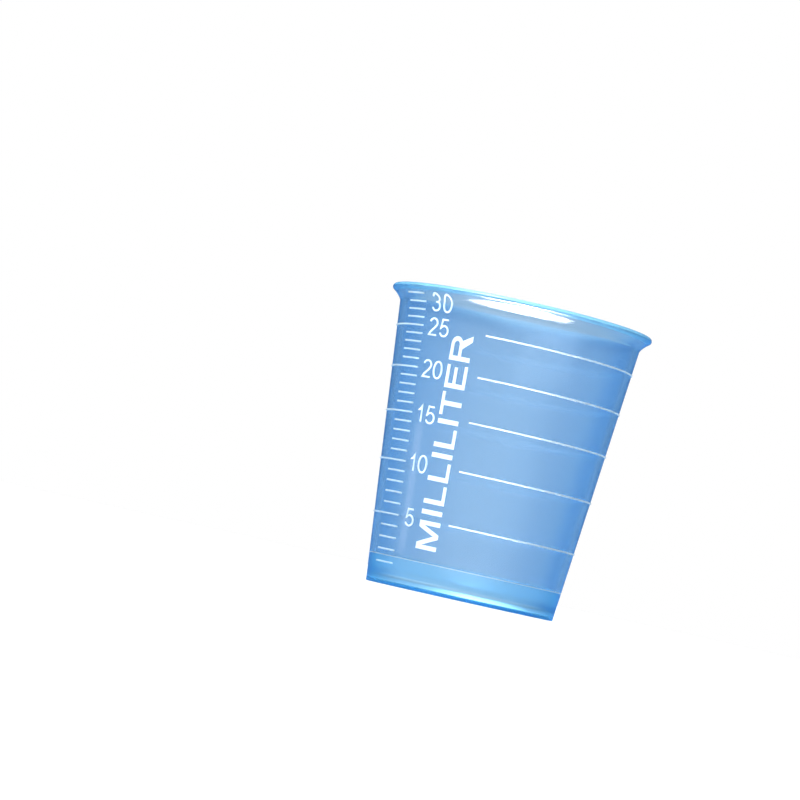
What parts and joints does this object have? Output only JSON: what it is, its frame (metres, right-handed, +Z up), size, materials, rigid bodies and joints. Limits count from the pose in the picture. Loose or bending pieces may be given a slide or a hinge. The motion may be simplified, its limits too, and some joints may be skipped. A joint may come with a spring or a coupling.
{
  "type": "medicine cup",
  "caption": "Small tapered dosing cup moulded in one piece of translucent blue plastic, with a flared lip, a recessed foot and a raised millilitre scale.",
  "frame": {"origin": "centre of the foot, on the surface that the cup stands on", "axes": "+Z up the cup's axis, towards the mouth; -Y is the front, with the numbers of the scale just left of it; +X is to the right seen from the front"},
  "size_m": [0.0384, 0.0384, 0.043],
  "materials": {
    "cup_plastic": "translucent blue polypropylene, glossy, with frosted raised marks"
  },
  "bodies": {
    "root": {"cup": "cup_plastic"}
  },
  "joints": []
}
